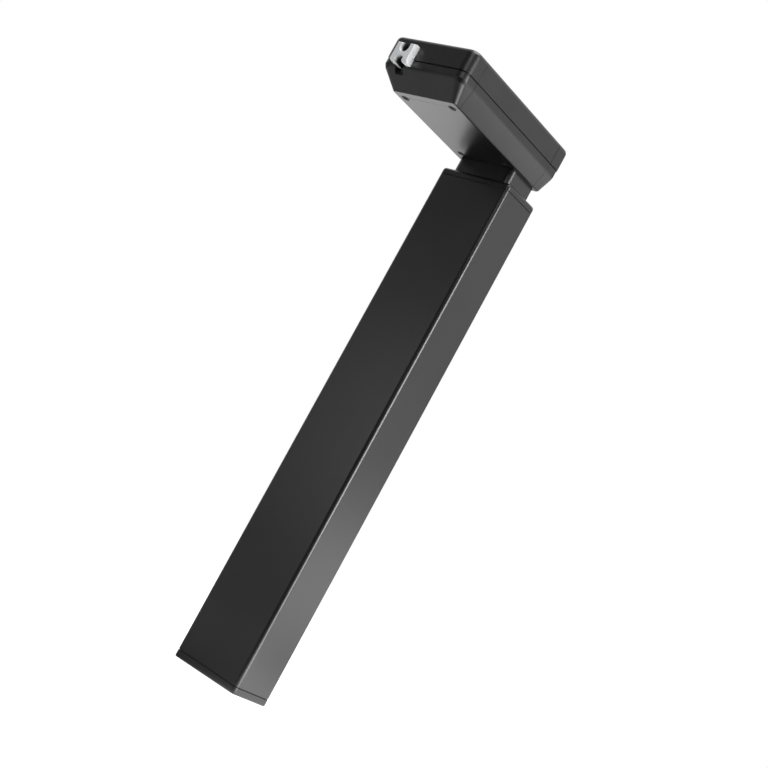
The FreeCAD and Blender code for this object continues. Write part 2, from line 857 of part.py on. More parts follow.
def make_commutator():
    y0 = commutator_start
    y1 = y0 + commutator_length
    return motor_rod(commutator_radius, y0, y1).cut(motor_rod(motor_shaft_radius, y0, y1))


def make_brushes():
    """Two carbon brushes above and below the commutator."""
    middle = commutator_start + commutator_length / 2
    brushes = []
    for sign in (-1, 1):
        near = axis_height + sign * (commutator_radius + brush_gap)
        far = near + sign * brush_height
        brushes.append(box(worm_side - brush_width / 2, worm_side + brush_width / 2,
                           middle - brush_width / 2, middle + brush_width / 2,
                           min(near, far), max(near, far)))
    return Part.makeCompound(brushes)


def make_motor_end_cap():
    """A plastic cap with a spigot in the can, brush holders inside and posts for the board."""
    plate = motor_rod(motor_radius, motor_back - end_cap_length, motor_back)
    spigot = motor_rod(motor_radius - motor_can_wall - thread_clearance, motor_back,
                       motor_back + end_cap_spigot)
    parts = [plate, spigot]
    y1 = commutator_start + commutator_length
    for sign in (-1, 1):
        near = axis_height + sign * (commutator_radius + brush_holder_gap)
        far = axis_height + sign * (commutator_radius + brush_gap + brush_height + brush_holder_wall)
        parts.append(box(worm_side - brush_width, worm_side + brush_width, motor_back, y1,
                         min(near, far), max(near, far)))
    board_face = board_back() + board_thickness
    for x in (-board_post_offset, board_post_offset):
        parts.append(lengthwise(board_post_radius, board_face, motor_back - end_cap_length,
                                worm_side + x, axis_height))
    cap = join(parts).cut(motor_rod(motor_shaft_radius + thread_clearance,
                                    motor_back - end_cap_length, motor_back + end_cap_spigot))
    return cap.cut(make_brushes())


def make_sensor_magnet():
    """A ring magnet on the shaft's end that the sensors count."""
    y1 = motor_back - end_cap_length - sensor_magnet_gap
    y0 = motor_back - end_cap_length - sensor_magnet_length
    return motor_rod(sensor_magnet_radius, y0, y1).cut(motor_rod(motor_shaft_radius, y0, y1))


def board_back():
    return motor_back - end_cap_length - sensor_magnet_length - sensor_gap - board_thickness


def make_sensor_board():
    """The board on the cap's posts, with two sensors and the plug for the motor's cable."""
    y0 = board_back()
    board = box(worm_side - board_width / 2, worm_side + board_width / 2, y0, y0 + board_thickness,
                axis_height - board_height / 2, axis_height + board_height / 2)
    chips = [box(worm_side + x - chip_width / 2, worm_side + x + chip_width / 2, y0 - chip_thickness,
                 y0, axis_height + chip_rise, axis_height + chip_rise + chip_height)
             for x in (-chip_offset, chip_offset)]
    plug_bottom = axis_height - board_plug_drop
    plug = box(worm_side - board_plug_width / 2, worm_side + board_plug_width / 2,
               y0 - board_plug_depth, y0, plug_bottom, plug_bottom + board_plug_height)
    return join([board, plug] + chips)


# Carrier channel

def carrier_profile(outer_floor, outer_side, z0, z1, flange):
    """Half of the channel's outline in the XZ plane, from the middle of the floor outwards."""
    knee = band_bottom
    return [Vector(0, 0, z0), Vector(outer_floor, 0, z0), Vector(outer_side, 0, knee),
            Vector(outer_side, 0, z1), Vector(outer_side - flange, 0, z1)]


def make_carrier():
    """A bent steel channel welded on the inner tube, with flanges for the desk frame."""
    t = carrier_sheet
    outer = carrier_profile(carrier_floor_half_width, carrier_half_width, carrier_bottom,
                            carrier_top, carrier_flange_width)
    inner = carrier_profile(carrier_floor_half_width - t / 2, carrier_half_width - t,
                            carrier_bottom + t, carrier_top - t, carrier_flange_width - t)
    half = polygon_prism(outer + inner[::-1], Vector(0, carrier_front + carrier_rear, 0))
    half.translate(Vector(0, -carrier_front, 0))
    channel = join([half, mirrored_x(half)])
    nuts = [upright(weld_nut_radius, carrier_top - t - weld_nut_height, carrier_top - t, x, y)
            for x, y in top_hole_places()]
    holes = [upright(top_thread_radius, carrier_top - t - weld_nut_height, carrier_top, x, y)
             for x, y in top_hole_places()]
    holes.append(upright(carrier_spindle_hole_radius, carrier_bottom, carrier_floor_top))
    holes += [upright(tray_screw_radius + thread_clearance, carrier_bottom, carrier_floor_top, x, y)
              for x, y in tray_screw_places()]
    holes += gearbox_screw_holes()
    holes += [rail_screw_cone(y, thread_clearance) for y in rail_screw_places()]
    holes.append(socket_opening(-housing_half_width, -carrier_half_width + t + socket_depth))
    return cut_all(join([channel] + nuts), holes)


def top_hole_places():
    return [(x, y) for x in (-top_hole_offset, top_hole_offset)
            for y in (-top_hole_front, -top_hole_front + top_hole_spacing_y)]


# Housing

def widening(z):
    """The share of the tray's slope that a height has reached: 0 at its floor, 1 from the band up."""
    return min(1, (z - housing_bottom) / (band_bottom - housing_bottom))


def tray_front_at(z):
    return -tray_floor_front + widening(z) * (tray_front_y + tray_floor_front)


def tray_outline(z, inset):
    """The tray's plan at a height, drawn in by inset: it widens up to the band."""
    share = widening(z)
    half = tray_floor_half_width + share * (tray_half_width - tray_floor_half_width) - inset
    front = tray_front_at(z) + inset
    band_radius = housing_corner_radius - tray_inset
    radius = tray_floor_corner_radius + share * (band_radius - tray_floor_corner_radius) - inset
    return rounded_outline(-half, half, front, tray_rear_y - inset, radius, z)


def tray_body(z0, inset):
    """A solid of the tray's form from z0 up: sloping sides and front, a soft bend, an upright band."""
    levels = [z0, band_bottom - tray_band_softening, band_bottom + tray_band_softening, parting]
    return Part.makeLoft([tray_outline(z, inset) for z in levels], True, True)


def make_tray():
    outside = tray_body(housing_bottom, 0)
    outside = outside.makeFillet(tray_floor_fillet, edges_at_height(outside, housing_bottom))
    hollow = tray_body(housing_bottom + housing_wall, housing_wall)
    shell = outside.cut(hollow)
    groove_bottom = parting - parting_groove_height
    band = Part.Face(tray_outline(band_bottom, 0)).extrude(Vector(0, 0, tray_band_height))
    keep = Part.Face(tray_outline(band_bottom, parting_groove_depth)).extrude(
        Vector(0, 0, tray_band_height))
    groove = band.cut(keep).common(slab(groove_bottom, parting))
    bosses = [upright(tray_screw_boss_radius, housing_bottom + housing_wall, carrier_bottom, x, y)
              for x, y in tray_screw_places()]
    pocket = rail_notch_pocket().common(outside)
    shell = join([shell.cut(groove), pocket] + bosses)
    holes = []
    for x, y in tray_screw_places():
        holes.append(upright(tray_screw_radius + tray_screw_clearance, housing_bottom,
                             carrier_bottom, x, y))
        holes.append(upright(tray_screw_recess_radius, housing_bottom,
                             housing_bottom + tray_screw_recess_depth, x, y))
    holes.append(centred_block(inner_width + 2 * neck_hole_clearance,
                               inner_depth + 2 * neck_hole_clearance,
                               inner_corner_radius + neck_hole_clearance,
                               housing_bottom, inner_top + neck_hole_clearance))
    holes += [rail_opening(housing_bottom, parting), rail_notch()]
    return cut_all(shell, holes)


def rail_notch():
    """The recess under the rail: deep at its top, running out on the tray's front at its foot."""
    left = -rail_notch_offset - rail_notch_width / 2
    foot = rail_bottom - rail_notch_drop
    side = [Vector(left, -housing_front, rail_bottom),
            Vector(left, tray_front_y + rail_notch_depth, rail_bottom),
            Vector(left, tray_front_at(foot), foot), Vector(left, -housing_front, foot)]
    return polygon_prism(side, Vector(rail_notch_width, 0, 0))


def rail_notch_pocket():
    """A block behind the notch that closes it toward the inside."""
    half = rail_notch_width / 2 + housing_wall
    return box(-rail_notch_offset - half, -rail_notch_offset + half,
               -housing_front, tray_front_y + rail_notch_depth + housing_wall,
               rail_bottom - rail_notch_drop - housing_wall, rail_bottom - rail_hole_clearance)


def slab(z0, z1):
    reach = 2 * housing_front
    return box(-reach, reach, -reach, reach, z0, z1)


def rail_opening(z0, z1):
    """The window in the front wall that the rail passes through."""
    half = rail_width / 2 + rail_hole_clearance
    low = max(z0, rail_bottom - rail_hole_clearance)
    high = min(z1, rail_bottom + rail_height + rail_hole_clearance)
    return box(-rail_side_offset - half, -rail_side_offset + half, -housing_front - cut_overrun,
               -housing_front + 3 * housing_wall, low, high)


def cover_body(inset):
    """A solid of the cover's form, drawn in by inset."""
    top = housing_top - inset
    body = rounded_block(-housing_half_width + inset, housing_half_width - inset,
                         -housing_front + inset, housing_rear - inset,
                         housing_corner_radius - inset, parting, top)
    return body.makeFillet(cover_edge_radius - inset, edges_at_height(body, top))


def make_cover():
    shell = cover_body(0).cut(cover_body(housing_wall))
    holes = [upright(top_hole_radius, housing_top - housing_wall, housing_top, x, y)
             for x, y in top_hole_places()]
    holes.append(rail_opening(parting, housing_top))
    holes.append(socket_opening(-housing_half_width, -housing_half_width + 2 * housing_wall))
    return cut_all(shell, holes)


def seam_path(y, side):
    """The parting between two lengths: upright, then leaning to the rear below the band."""
    shift = side * seam_gap / 2
    leaned = y + shift + seam_lean
    return [Vector(-housing_front, y + shift, housing_top + cut_overrun),
            Vector(-housing_front, y + shift, band_bottom),
            Vector(-housing_front, leaned, housing_bottom),
            Vector(-housing_front, leaned, housing_bottom - cut_overrun)]


def open_end(y):
    return [Vector(-housing_front, y, housing_top + cut_overrun),
            Vector(-housing_front, y, housing_bottom - cut_overrun)]


def length_cutter(y0, y1):
    """The space between two seams; a seam of None is left open."""
    front = open_end(-2 * housing_front) if y0 is None else seam_path(-y0, 1)
    rear = open_end(2 * housing_front) if y1 is None else seam_path(-y1, -1)
    return polygon_prism(front + rear[::-1], Vector(2 * housing_front, 0, 0))


def tongues(seam, z0):
    """Two side tongues of an end cap, which reach into the middle length."""
    direction = 1 if seam < 0 else -1
    outer = housing_half_width - housing_wall
    pieces = []
    for clearance, start, end in ((0, -tongue_root, 0), (tongue_clearance, -tongue_root, tongue_reach)):
        ends = sorted((seam + direction * start, seam + direction * end))
        pieces.append(box(outer - tongue_clearance - tongue_thickness, outer - clearance,
                          ends[0], ends[1], z0, z0 + tongue_height))
    tongue = join(pieces)
    return [tongue, mirrored_x(tongue)]


def split_lengths(shell, tongue_z, inset):
    """Cuts a shell into front cap, centre and rear cap and gives the caps their tongues."""
    front = shell.common(length_cutter(None, front_seam))
    centre = shell.common(length_cutter(front_seam, -rear_seam))
    rear = shell.common(length_cutter(-rear_seam, None))
    shifted = []
    for cap, seam in ((front, -front_seam), (rear, rear_seam)):
        pair = [piece.copy() for piece in tongues(seam, tongue_z)]
        for piece, sign in zip(pair, (-1, 1)):
            piece.translate(Vector(sign * inset, 0, 0))
        shifted.append(join([cap] + pair))
    return {"front": shifted[0], "centre": centre, "rear": shifted[1]}


# Small parts in the housing

def tray_screw_places():
    return [(-front_screw_offset, -front_screw_distance), (front_screw_offset, -front_screw_distance),
            (-rear_screw_offset, -rear_screw_distance), (rear_screw_offset, -rear_screw_distance)]


def make_tray_screws():
    """Four cross-head screws, sunk in the tray's floor and threaded into the carrier."""
    seat = housing_bottom + tray_screw_recess_depth
    screws = []
    for x, y in tray_screw_places():
        head = upright(tray_screw_head_radius, seat - tray_screw_head_height, seat, x, y)
        shank = upright(tray_screw_radius, seat, seat + tray_screw_length, x, y)
        low = seat - tray_screw_head_height
        bar = box(x - cross_recess_width / 2, x + cross_recess_width / 2,
                  y - cross_recess_length / 2, y + cross_recess_length / 2,
                  low, low + cross_recess_depth)
        across = bar.copy()
        across.rotate(Vector(x, y, 0), Vector(0, 0, 1), 90)
        screws.append(cut_all(join([head, shank]), [bar, across]))
    return Part.makeCompound(screws)


def rail_top_groove():
    """A round-bottomed groove along the rail's upper side."""
    radius = rail_top_groove_width / 2
    opening = rail_bottom + rail_height
    centre = opening - rail_top_groove_depth + radius
    bottom = lengthwise(radius, -rail_front, -rail_back, -rail_side_offset, centre)
    mouth = box(-rail_side_offset - radius, -rail_side_offset + radius, -rail_front, -rail_back,
                centre, opening + cut_overrun)
    return join([bottom, mouth])


def rail_low_groove():
    """A shallow groove along the rail's lower side, round in its corners."""
    half = rail_low_groove_width / 2
    groove = box(-rail_side_offset - half, -rail_side_offset + half, -rail_front, -rail_back,
                 rail_bottom - cut_overrun, rail_bottom + rail_low_groove_depth)
    return groove.makeFillet(rail_low_groove_depth / 2, [
        e for e in groove.Edges if e.BoundBox.YLength > rail_width and e.BoundBox.ZMin > rail_bottom])


def rail_end_slopes():
    """What is milled off the rail's front end above and below."""
    left = -rail_side_offset - rail_width / 2
    slopes = []
    for outer, inward in ((rail_bottom, 1), (rail_bottom + rail_height, -1)):
        side = [Vector(left, -rail_front, outer), Vector(left, -rail_front + rail_end_slope_length, outer),
                Vector(left, -rail_front, outer + inward * rail_end_slope_height)]
        slopes.append(polygon_prism(side, Vector(rail_width, 0, 0)))
    return slopes


def make_mounting_rail():
    """An aluminium extrusion with a deep groove on top and a shallow one below."""
    left = -rail_side_offset - rail_width / 2
    right = -rail_side_offset + rail_width / 2
    bar = box(left, right, -rail_front, -rail_back, rail_bottom, rail_bottom + rail_height)
    bar = bar.makeChamfer(rail_chamfer, [e for e in bar.Edges if e.BoundBox.YLength > rail_width])
    bar = cut_all(bar, [rail_low_groove(), rail_top_groove()] + rail_end_slopes())
    end = [e for e in bar.Edges if e.BoundBox.YMax < -rail_front + rail_end_chamfer]
    bar = bar.makeChamfer(rail_end_chamfer, end)
    holes = [upright(rail_screw_radius + thread_clearance, rail_bottom,
                     rail_bottom + rail_low_groove_depth + rail_screw_bite, -rail_side_offset, y)
             for y in rail_screw_places()]
    return cut_all(bar, holes)


def rail_screw_places():
    first = -rail_back - rail_support_setback
    return [first - index * rail_support_pitch for index in range(rail_support_count)]


def make_rail_supports():
    """Two blocks on the carrier's floor that lift the rail and fill its lower groove."""
    blocks = []
    for y in rail_screw_places():
        y0 = y - rail_support_length / 2
        y1 = y + rail_support_length / 2
        half = rail_support_width / 2
        body = box(-rail_side_offset - half, -rail_side_offset + half, y0, y1,
                   carrier_floor_top, rail_bottom)
        half = rail_low_groove_width / 2 - rail_tongue_clearance
        key = box(-rail_side_offset - half, -rail_side_offset + half, y0, y1, rail_bottom,
                  rail_bottom + rail_low_groove_depth / 2 - rail_tongue_clearance)
        hole = upright(rail_screw_radius + thread_clearance, carrier_floor_top,
                       rail_bottom + rail_low_groove_depth, -rail_side_offset, y)
        blocks.append(join([body, key]).cut(hole))
    return Part.makeCompound(blocks)


def rail_screw_cone(y, clearance):
    return Part.makeCone(rail_screw_head_radius + clearance, rail_screw_radius + clearance,
                         carrier_sheet, Vector(-rail_side_offset, y, carrier_bottom))


def make_rail_screws():
    top = rail_bottom + rail_low_groove_depth + rail_screw_bite - rail_screw_gap
    return Part.makeCompound([
        join([rail_screw_cone(y, 0),
              upright(rail_screw_radius, carrier_bottom, top, -rail_side_offset, y)])
        for y in rail_screw_places()])


def socket_middle():
    return (parting + carrier_top - carrier_sheet) / 2


def socket_opening(x0, x1):
    half_width = socket_width / 2 + socket_clearance
    half_height = socket_height / 2 + socket_clearance
    return box(x0, x1, -socket_distance - half_width, -socket_distance + half_width,
               socket_middle() - half_height, socket_middle() + half_height)


def make_cable_socket():
    """A rectangular socket in the left wall: a box open outwards, with pins at its back."""
    x0 = -housing_half_width
    x1 = x0 + socket_depth
    y = -socket_distance
    z = socket_middle()
    body = box(x0, x1, y - socket_width / 2, y + socket_width / 2,
               z - socket_height / 2, z + socket_height / 2)
    flange_x = x0 + housing_wall
    flange = box(flange_x, flange_x + socket_lip, y - socket_width / 2 - socket_lip,
                 y + socket_width / 2 + socket_lip, z - socket_height / 2 - socket_lip,
                 z + socket_height / 2 + socket_lip)
    hollow = box(x0, x1 - socket_wall, y - socket_width / 2 + socket_wall,
                 y + socket_width / 2 - socket_wall, z - socket_height / 2 + socket_wall,
                 z + socket_height / 2 - socket_wall)
    return join([body, flange]).cut(hollow)


def make_socket_pins():
    x0 = -housing_half_width + socket_depth / 2
    x1 = -housing_half_width + socket_depth - socket_wall
    pins = []
    for row in (-1, 1):
        for index in range(socket_pin_count):
            y = -socket_distance + (index - (socket_pin_count - 1) / 2) * socket_pin_pitch
            z = socket_middle() + row * socket_pin_pitch / 2
            pins.append(Part.makeCylinder(socket_pin_radius, x1 - x0, Vector(x0, y, z), Vector(1, 0, 0)))
    return Part.makeCompound(pins)


def make_wheel_key():
    return key_block(0)


def all_parts():
    cover = split_lengths(make_cover(), parting + tongue_height, 0)
    tray = split_lengths(make_tray(), band_bottom + tray_tongue_rise, tray_inset)
    shapes = {
        "foot_plate": make_foot_plate(),
        "outer_tube": make_outer_tube(),
        "guide_collar": make_guide_collar(),
        "upper_glides": make_upper_glides(),
        "nut_tube": make_nut_tube(),
        "spindle_nut": make_spindle_nut(),
        "nut_pins": make_nut_pins(),
        "foot_screws": make_foot_screws(),
        "inner_tube": make_inner_tube(),
        "lower_glides": make_lower_glides(),
        "carrier_channel": make_carrier(),
        "gearbox_lower": make_gearbox_half(carrier_floor_top, axis_height),
        "gearbox_upper": make_gearbox_upper(),
        "gearbox_screws": make_gearbox_screws(),
        "thrust_bearing": make_thrust_bearing(),
        "top_bearing": make_top_bearing(),
        "worm_bearings": make_worm_bearings(),
        "motor_can": make_motor_can(),
        "motor_screws": make_motor_screws(),
        "motor_magnets": make_motor_magnets(),
        "motor_end_cap": make_motor_end_cap(),
        "brushes": make_brushes(),
        "sensor_board": make_sensor_board(),
        "cable_socket": make_cable_socket(),
        "socket_pins": make_socket_pins(),
        "mounting_rail": make_mounting_rail(),
        "rail_supports": make_rail_supports(),
        "rail_screws": make_rail_screws(),
        "tray_screws": make_tray_screws(),
        "spindle": make_spindle(),
        "end_stop": make_end_stop(),
        "end_stop_screw": make_end_stop_screw(),
        "wheel_key": make_wheel_key(),
        "worm_wheel": make_worm_wheel(),
        "worm_shaft": make_worm_shaft(),
        "armature": make_armature(),
        "windings": make_windings(),
        "commutator": make_commutator(),
        "sensor_magnet": make_sensor_magnet(),
    }
    for name in ("front", "centre", "rear"):
        shapes["cover_" + name] = cover[name]
        shapes["tray_" + name] = tray[name]
    return shapes


os.makedirs("parts", exist_ok=True)
for name, shape in all_parts().items():
    shape.exportStep("parts/" + name + ".step")
    print(f"{name:18s} solids {len(shape.Solids)} valid {shape.isValid()} volume {shape.Volume:.0f}")
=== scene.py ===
# %% [markdown]
# This lesson dresses the CAD model of an electric lifting column. The dressed column has to stay
# in it.

# %% Start
import json
import math
import bpy
import bmesh
from mathutils import Matrix, Vector


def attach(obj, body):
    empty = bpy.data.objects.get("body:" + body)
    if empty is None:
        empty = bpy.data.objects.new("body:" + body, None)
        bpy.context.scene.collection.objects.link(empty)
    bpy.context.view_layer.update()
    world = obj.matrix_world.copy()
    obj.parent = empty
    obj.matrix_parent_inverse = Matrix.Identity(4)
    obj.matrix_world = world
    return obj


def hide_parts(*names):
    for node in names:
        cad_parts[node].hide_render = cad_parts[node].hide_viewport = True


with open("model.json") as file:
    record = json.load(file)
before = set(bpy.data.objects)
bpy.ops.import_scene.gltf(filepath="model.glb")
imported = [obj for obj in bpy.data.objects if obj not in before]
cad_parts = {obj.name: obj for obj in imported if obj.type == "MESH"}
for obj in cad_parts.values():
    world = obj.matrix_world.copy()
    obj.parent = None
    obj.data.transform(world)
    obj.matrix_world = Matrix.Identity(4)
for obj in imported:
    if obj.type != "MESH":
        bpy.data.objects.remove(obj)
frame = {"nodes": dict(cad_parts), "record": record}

scene = bpy.context.scene
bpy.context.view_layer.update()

# %% [markdown]
# The camera comes next, because every finish is judged through it. The column was photographed
# from a little above its foot, on the right of its front, with the camera rolled so that the
# column leans across the picture. Such a camera could be placed by eye. Here its place and its
# three axes are numbers that were fitted to the picture's straight edges.

# %% Camera
camera_place = Vector((0.8589, -0.93947, 0.12351))
camera_right = Vector((0.68949, 0.54606, 0.47584))
camera_down = Vector((0.27944, 0.40556, -0.87031))
camera_forward = Vector((-0.66822, 0.73304, 0.12704))
column_middle = Vector((0.0, -0.02, 0.28))

lens = bpy.data.cameras.new("camera")
lens.sensor_width = 36.0
lens.lens = 69.83
lens.clip_start = 0.01
lens.clip_end = 60.0
camera = bpy.data.objects.new("camera", lens)
scene.collection.objects.link(camera)
turn = Matrix((camera_right, -camera_down, -camera_forward)).transposed().to_4x4()
camera.matrix_world = Matrix.Translation(camera_place) @ turn
scene.camera = camera
scene.view_settings.view_transform = "Standard"
print("camera", round((camera_place - column_middle).length, 3), "m from the column's middle")

# %% [markdown]
# The studio, the floor and every finish are made of shader nodes, which are small machines in a
# row. They could be placed by hand in the editor. A few helpers do it here, and each gives back
# the output of what it made, so that the next one can take it up.

# %% Tools for nodes
def add_node(tree, kind, **settings):
    """A new node in a tree, with its settings."""
    node = tree.nodes.new(kind)
    for setting, value in settings.items():
        setattr(node, setting, value)
    return node


def joined(tree, operation, first, second):
    """One number made of two others by a math operation."""
    node = add_node(tree, "ShaderNodeMath", operation=operation)
    tree.links.new(first, node.inputs[0])
    tree.links.new(second, node.inputs[1])
    return node.outputs[0]


def between(tree, factor, low, high, start=0.3, end=0.7):
    """A number that goes from low to high as the factor goes from start to end."""
    node = add_node(tree, "ShaderNodeMapRange")
    for socket, value in zip(("From Min", "From Max", "To Min", "To Max"), (start, end, low, high)):
        node.inputs[socket].default_value = value
    tree.links.new(factor, node.inputs["Value"])
    return node.outputs["Result"]


def axes_of(tree, place):
    """The three coordinates of a place, as outputs called X, Y and Z."""
    node = add_node(tree, "ShaderNodeSeparateXYZ")
    tree.links.new(place, node.inputs["Vector"])
    return node.outputs


def shader_choice(tree, switch, off, on):
    """Shows one shader where the switch is 0 and the other where it is 1."""
    node = add_node(tree, "ShaderNodeMixShader")
    tree.links.new(switch, node.inputs[0])
    tree.links.new(off.outputs[0], node.inputs[1])
    tree.links.new(on.outputs[0], node.inputs[2])
    return node


def seen_or_mirrored(tree):
    """Two switches: 1 where the camera looks, also through glass, and 1 where a mirror looks."""
    ray = add_node(tree, "ShaderNodeLightPath").outputs
    seen = joined(tree, "MAXIMUM", ray["Is Camera Ray"], ray["Is Transmission Ray"])
    return seen, ray["Is Glossy Ray"]


# %% [markdown]
# Black paint is drawn by what it mirrors, so what mirrors see of the room is graded with care. One
# ramp runs across the room, from nearly black beside the photographer to white behind the column,
# and the same ramp serves for the floor later. It draws the dark band along the tube's rounded
# corner.

# %% Tools for mirrored light
def mirror_ramp(tree, place, bright_way, reach, levels):
    """A grey for mirrors that depends on how far a place lies in one direction. The levels go from
    position 0, one reach against that direction, to position 1, one reach along it."""
    along = add_node(tree, "ShaderNodeVectorMath", operation="DOT_PRODUCT")
    along.inputs[1].default_value = bright_way
    tree.links.new(place, along.inputs[0])
    ramp = add_node(tree, "ShaderNodeValToRGB")
    while len(ramp.color_ramp.elements) < len(levels):
        ramp.color_ramp.elements.new(0.5)
    for stop, (position, level) in zip(ramp.color_ramp.elements, levels):
        stop.position = position
        stop.color = (level, level, level, 1.0)
    share = between(tree, along.outputs["Value"], 0.0, 1.0, -reach, reach)
    tree.links.new(share, ramp.inputs["Fac"])
    return ramp.outputs["Color"]


def rise(tree, factor, levels):
    """A smooth curve through points, each a factor and the number that it turns into."""
    node = add_node(tree, "ShaderNodeFloatCurve")
    node.mapping.use_clip = False
    curve = node.mapping.curves[0]
    while len(curve.points) < len(levels):
        curve.points.new(0.5, 1.0)
    for point, level in zip(curve.points, levels):
        point.location = level
    node.mapping.update()
    tree.links.new(factor, node.inputs["Value"])
    return node.outputs["Value"]


def near(tree, place, middle, inside, outside, core, edge):
    """A number that is one value within a core round a point and another past an edge."""
    distance = add_node(tree, "ShaderNodeVectorMath", operation="DISTANCE")
    distance.inputs[1].default_value = middle
    tree.links.new(place, distance.inputs[0])
    return between(tree, distance.outputs["Value"], inside, outside, core, edge)


def glow(tree, colour, strength):
    """A background node of one colour and strength."""
    node = add_node(tree, "ShaderNodeBackground")
    node.inputs["Color"].default_value = (*colour, 1.0)
    node.inputs["Strength"].default_value = strength
    return node


# %% [markdown]
# The column stands in a white studio. The world looks white to the camera, and it lights the paint
# only softly, so that black stays black. In mirrors it is a backdrop behind the column, a white
# ceiling, and a little more light at the horizon than above it. An HDR picture could do the same,
# but then nobody could say why a highlight is where it is. Light Path tells which kind of ray
# asks, and Generated is the direction that the ray looks in.

# %% White studio
white = (1.0, 1.0, 1.0)
day_white = (0.97, 0.985, 1.0)
room_light = 0.30
backdrop_direction = Vector((-0.342, 0.940, 0.0))
wall_levels = ((0.0, 0.03), (0.13, 0.03), (0.215, 0.20), (0.265, 0.13), (0.375, 0.30), (0.70, 1.0),
               (0.78, 1.0), (0.93, 0.45))
ceiling_level = 0.9
ceiling_start = 0.55
ceiling_full = 0.85
horizon_levels = ((-0.15, 1.3), (0.0, 1.2), (0.10, 0.85), (0.25, 0.90), (0.5, 1.0))

world = bpy.data.worlds.new("studio")
world.use_nodes = True
scene.world = world
tree = world.node_tree
tree.nodes.clear()

direction = add_node(tree, "ShaderNodeTexCoord").outputs["Generated"]
height = axes_of(tree, direction)["Z"]
wall = mirror_ramp(tree, direction, backdrop_direction, 1.0, wall_levels)
ceiling = between(tree, height, 0.0, ceiling_level, ceiling_start, ceiling_full)
mirrored_room = glow(tree, white, 1.0)
tree.links.new(joined(tree, "MAXIMUM", wall, ceiling), mirrored_room.inputs["Color"])
tree.links.new(rise(tree, height, horizon_levels), mirrored_room.inputs["Strength"])

seen, mirrored = seen_or_mirrored(tree)
unseen = shader_choice(tree, mirrored, glow(tree, day_white, room_light), mirrored_room)
studio = shader_choice(tree, seen, unseen, glow(tree, white, 1.0))
result = add_node(tree, "ShaderNodeOutputWorld")
tree.links.new(studio.outputs[0], result.inputs["Surface"])
print("room light", room_light)

# %% [markdown]
# The floor is one large pale sheet under the foot. A shadow should still fall on it, so it can't
# be a lamp. For the camera its shader adds a glow to plain white paint, and the paint is a little
# darker where the column keeps the light off, which leaves a faint contact shadow.

# %% Floor sheet
floor_reach = 12.0
floor_gap = 0.0002
floor_white = (0.8, 0.8, 0.8, 1.0)
floor_lift = 0.85

floor_shape = bmesh.new()
bmesh.ops.create_grid(floor_shape, x_segments=1, y_segments=1, size=floor_reach)
bmesh.ops.translate(floor_shape, verts=floor_shape.verts, vec=(0.0, 0.0, -floor_gap))
floor_mesh = bpy.data.meshes.new("floor")
floor_shape.to_mesh(floor_mesh)
floor_shape.free()
floor = bpy.data.objects.new("floor", floor_mesh)
scene.collection.objects.link(floor)

floor_paint = bpy.data.materials.new("floor_paint")
floor_paint.use_nodes = True
tree = floor_paint.node_tree
tree.nodes.clear()
paint = add_node(tree, "ShaderNodeBsdfDiffuse")
paint.inputs["Color"].default_value = floor_white
white_sheet = add_node(tree, "ShaderNodeEmission")
white_sheet.inputs["Strength"].default_value = floor_lift
lit_paint = add_node(tree, "ShaderNodeAddShader")
tree.links.new(paint.outputs[0], lit_paint.inputs[0])
tree.links.new(white_sheet.outputs[0], lit_paint.inputs[1])
floor_mesh.materials.append(floor_paint)
print("floor", 2 * floor_reach, "m square")

# %% [markdown]
# In mirrors the floor is graded like the room, bright beyond the column and dim in front. A white
# card is added on the right of the foot, which lights the tray's sloping corner from below, and a
# black card in front of it, which keeps the tube's corner dark down to the foot. A photographer
# lays real cards down for this. Here they only show in mirrors, so the floor stays plain. From
# below it is clear, so that the foot can be looked at too.

# %% Mirrored floor
mirrored_glow = 2.5
floor_far = 3.0
floor_way = Vector((0.5, 0.866, 0.0))
floor_levels = ((0.0, 0.02), (0.30, 0.04), (0.41, 0.24), (0.493, 0.08), (0.503, 0.95),
                (0.535, 0.95), (0.556, 0.36), (0.60, 0.40), (0.80, 0.60))
white_card = (0.31, 0.0, 0.0)
white_card_level = 3.6
white_card_core = 0.04
white_card_edge = 0.26
black_card = (0.46, -0.60, 0.0)
black_card_core = 0.42
black_card_edge = 0.62

place = add_node(tree, "ShaderNodeTexCoord").outputs["Object"]
sheet = mirror_ramp(tree, place, floor_way, floor_far, floor_levels)
card_light = near(tree, place, white_card, white_card_level, 0.0, white_card_core, white_card_edge)
card_shade = near(tree, place, black_card, 0.0, 1.0, black_card_core, black_card_edge)
brighter = joined(tree, "MAXIMUM", sheet, card_light)
mirrored_sheet = add_node(tree, "ShaderNodeEmission")
mirrored_sheet.inputs["Strength"].default_value = mirrored_glow
tree.links.new(joined(tree, "MULTIPLY", brighter, card_shade), mirrored_sheet.inputs["Color"])

seen, mirrored = seen_or_mirrored(tree)
painted = shader_choice(tree, seen, paint, lit_paint)
upper_side = shader_choice(tree, mirrored, painted, mirrored_sheet)
clear = add_node(tree, "ShaderNodeBsdfTransparent")
below = add_node(tree, "ShaderNodeNewGeometry").outputs["Backfacing"]
result = add_node(tree, "ShaderNodeOutputMaterial")
tree.links.new(shader_choice(tree, below, upper_side, clear).outputs[0], result.inputs["Surface"])
print("cards beside the foot at", white_card[:2], "and", black_card[:2])

# %% [markdown]
# Soft boxes do the rest of the drawing. Point lamps would be simpler, but glossy black paint
# mirrors the lamp itself, and only a large box leaves a broad mark with a soft edge. One hangs
# overhead, and a key box in front on the right makes the small bright spots on rounded corners.
# One stands square to the right side: the tube's corner mirrors it as a thin bright line, and it
# lights the rail's side. A low, weak one near the right side brightens it toward the foot, and
# another in front on the left lifts the middle of the front face.

